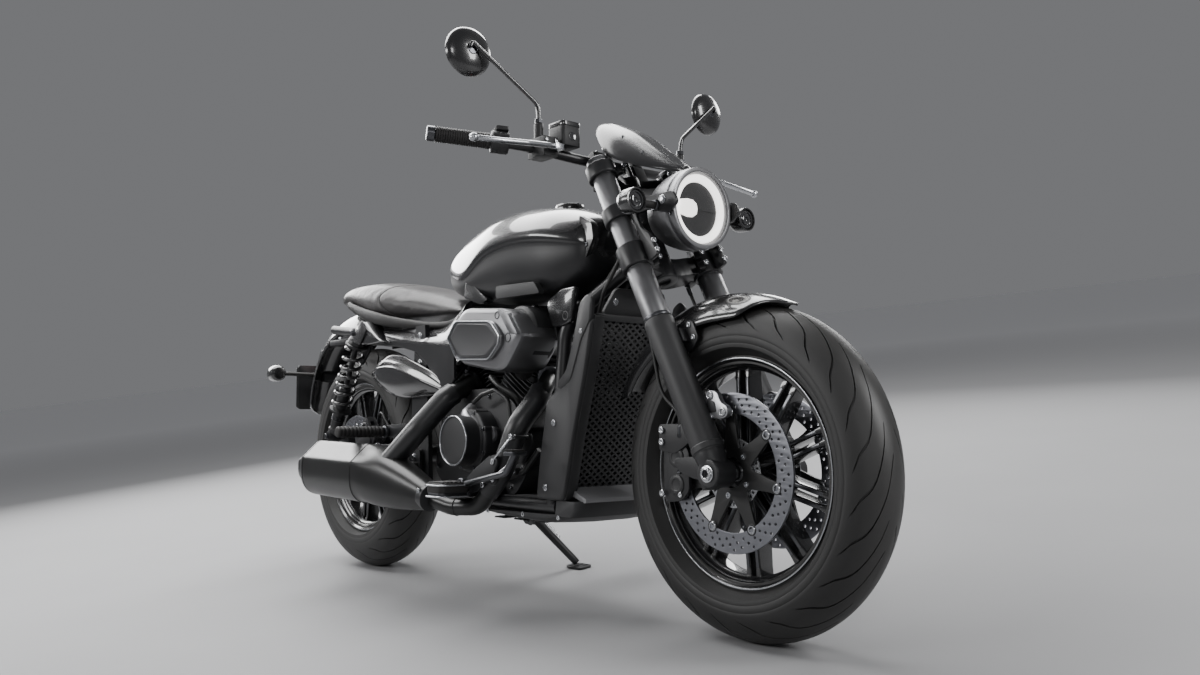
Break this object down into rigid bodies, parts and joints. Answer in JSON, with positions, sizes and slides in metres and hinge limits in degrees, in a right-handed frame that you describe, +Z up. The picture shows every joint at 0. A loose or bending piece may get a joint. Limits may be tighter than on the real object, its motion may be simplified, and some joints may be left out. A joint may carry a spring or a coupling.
{
  "type": "cruiser motorcycle",
  "caption": "Mid-size V-twin cruiser motorcycle leaning on its side stand, with turning wheels, steering and a folding stand.",
  "frame": {"origin": "centre of the machine's bounding box, on the ground that it stands on", "axes": "+X forward, +Y to the machine's left, +Z up; the machine leans to its left, about the X axis"},
  "size_m": [2.2119, 0.8652, 1.2862],
  "materials": {
    "gunmetal": "satin dark grey anodised finish",
    "satin_black": "satin black paint",
    "gloss_plastic": "polished plastic",
    "dark_plastic": "moulded matt plastic",
    "rubber": "matt",
    "engine_black": "fine textured black paint",
    "steel": "plated",
    "disc_steel": "ground",
    "gloss_black": "gloss black lacquer",
    "tyre": "grooved",
    "alloy": "machined",
    "seat_cover": "smooth dark cover"
  },
  "bodies": {
    "chassis": {"air_cleaner": "gunmetal", "backbone": "satin_black", "battery_covers": "gloss_plastic", "belly_pan": "dark_plastic", "clutch_cover": "engine_black", "cylinders": "engine_black", "down_tubes": "satin_black", "drive_belt": "rubber", "engine_case": "engine_black", "exhaust_headers": "satin_black", "foot_pedals": "steel", "fuel_cap": "alloy", "fuel_tank": "gloss_black", "generator_cover": "engine_black", "lower_rails": "satin_black", "muffler": "satin_black", "passenger_pegs": "steel", "pivot_plates": "satin_black", "plate_bracket": "dark_plastic", "radiator": "alloy", "radiator_shroud": "dark_plastic", "rear_axle": "steel", "rear_caliper": "satin_black", "rear_fender": "gloss_black", "rear_lamps": "gloss_plastic", "rider_pegs": "steel", "seat": "seat_cover", "seat_rails": "satin_black", "shock_springs": "steel", "shocks": "satin_black", "side_panels": "gloss_black", "swingarm_arms": "satin_black", "swingarm_bridge": "satin_black"},
    "steering": {"fork_tubes": "gunmetal", "fork_guards": "gunmetal", "lower_clamp": "gunmetal", "upper_clamp": "gunmetal", "front_axle": "steel", "front_calipers": "satin_black", "handlebar": "satin_black", "bar_risers": "satin_black", "grips": "rubber", "control_pods": "dark_plastic", "levers": "steel", "mirrors": "gloss_plastic", "headlight": "gloss_plastic", "lamp_brackets": "satin_black", "front_signals": "gloss_plastic", "dial": "gloss_plastic", "flyscreen": "gloss_plastic", "front_fender": "gloss_black", "brake_hoses": "rubber"},
    "front_wheel": {"front_tyre": "tyre", "front_rim": "gloss_black", "front_discs": "disc_steel"},
    "rear_wheel": {"rear_tyre": "tyre", "rear_rim": "gloss_black", "rear_disc": "disc_steel", "rear_pulley": "alloy"},
    "side_stand": {"side_stand": "satin_black"}
  },
  "joints": [
    {"name": "steering_turn", "type": "hinge", "parent": "chassis", "child": "steering", "pos_m": [0.47971, -0.02443, 0.82969], "axis": [-0.4586, 0.1237, 0.88], "range_deg": [-33, 33]},
    {"name": "front_wheel_spin", "type": "hinge", "parent": "steering", "child": "front_wheel", "pos_m": [0.786, -0.0964, 0.31761], "axis": [0, 0.9903, -0.1392], "continuous": true},
    {"name": "rear_wheel_spin", "type": "hinge", "parent": "chassis", "child": "rear_wheel", "pos_m": [-0.714, -0.09598, 0.32058], "axis": [0, 0.9903, -0.1392], "continuous": true},
    {"name": "side_stand_fold", "type": "hinge", "parent": "chassis", "child": "side_stand", "pos_m": [-0.11415, 0.01321, 0.15619], "axis": [0, 0.8387, 0.5446], "range_deg": [0, 95]}
  ]
}
